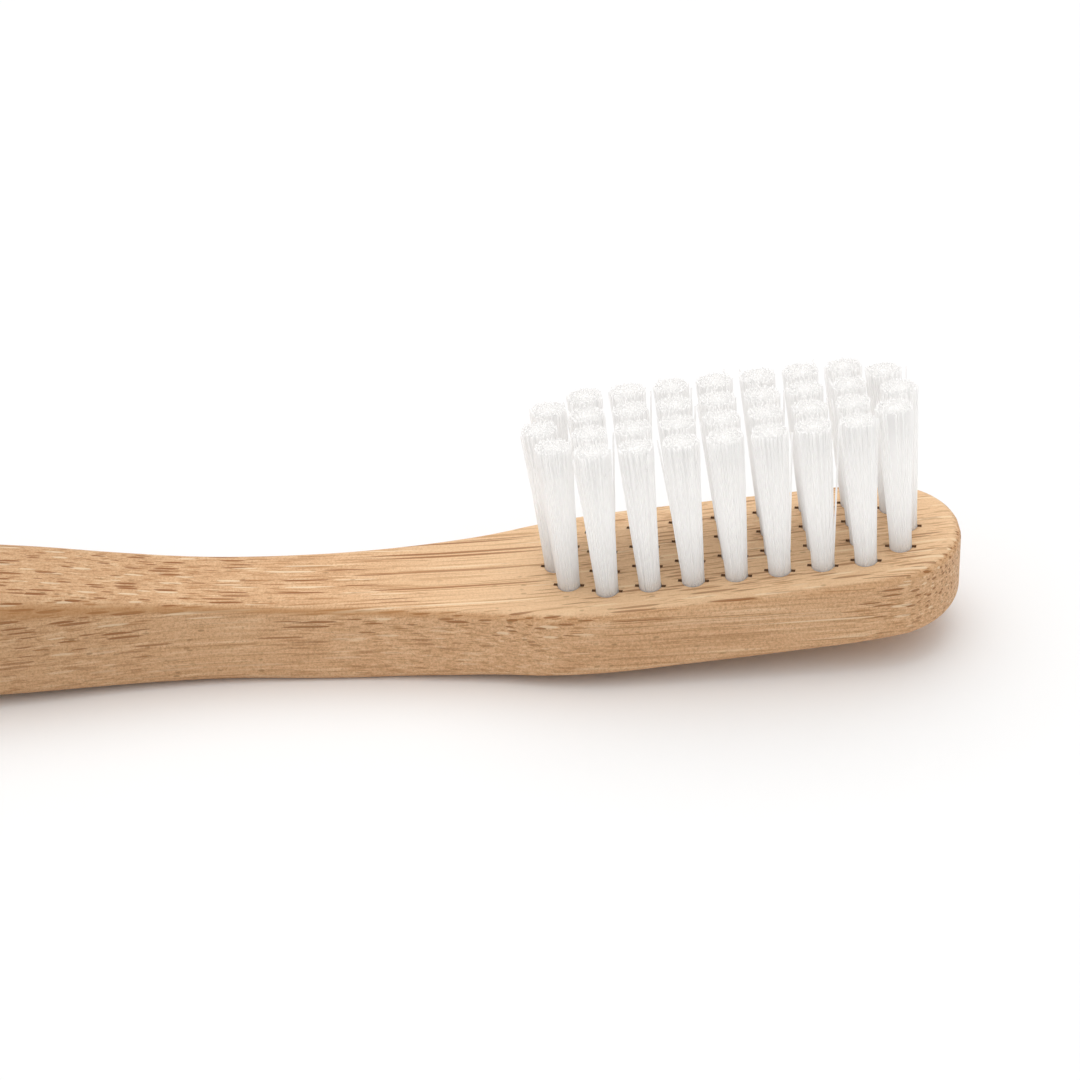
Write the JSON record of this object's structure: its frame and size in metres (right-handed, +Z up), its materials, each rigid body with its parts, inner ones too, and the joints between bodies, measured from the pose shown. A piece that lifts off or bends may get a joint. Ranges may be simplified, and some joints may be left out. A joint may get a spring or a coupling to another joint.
{
  "type": "manual toothbrush",
  "caption": "Manual toothbrush with a one-piece bamboo handle, a slim neck and a flat head of upright white bristle tufts, for brushing teeth by hand.",
  "frame": {"origin": "on the rest plane under the middle of the brush's length and width, lying on its back", "axes": "+X along the brush towards the tip of the head, +Y across it, +Z up out of the bristle face"},
  "size_m": [0.19, 0.0124, 0.0181],
  "materials": {
    "bamboo": "sanded, lightly waxed",
    "bristle_nylon": "fine translucent filaments",
    "anchor_metal": "dull, punched from strip"
  },
  "bodies": {
    "root": {"handle": "bamboo", "anchor_plates": "anchor_metal", "tuft_row1_col1": "bristle_nylon", "tuft_row1_col2": "bristle_nylon", "tuft_row1_col3": "bristle_nylon", "tuft_row1_col4": "bristle_nylon", "tuft_row1_col5": "bristle_nylon", "tuft_row1_col6": "bristle_nylon", "tuft_row1_col7": "bristle_nylon", "tuft_row2_col1": "bristle_nylon", "tuft_row2_col2": "bristle_nylon", "tuft_row2_col3": "bristle_nylon", "tuft_row2_col4": "bristle_nylon", "tuft_row2_col5": "bristle_nylon", "tuft_row2_col6": "bristle_nylon", "tuft_row2_col7": "bristle_nylon", "tuft_row3_col1": "bristle_nylon", "tuft_row3_col2": "bristle_nylon", "tuft_row3_col3": "bristle_nylon", "tuft_row3_col4": "bristle_nylon", "tuft_row3_col5": "bristle_nylon", "tuft_row3_col6": "bristle_nylon", "tuft_row3_col7": "bristle_nylon", "tuft_row4_col1": "bristle_nylon", "tuft_row4_col2": "bristle_nylon", "tuft_row4_col3": "bristle_nylon", "tuft_row4_col4": "bristle_nylon", "tuft_row4_col5": "bristle_nylon", "tuft_row4_col6": "bristle_nylon", "tuft_row4_col7": "bristle_nylon", "tuft_heel1": "bristle_nylon", "tuft_heel2": "bristle_nylon", "tuft_heel3": "bristle_nylon", "tuft_toe1": "bristle_nylon", "tuft_toe2": "bristle_nylon", "tuft_toe3": "bristle_nylon"}
  },
  "joints": []
}
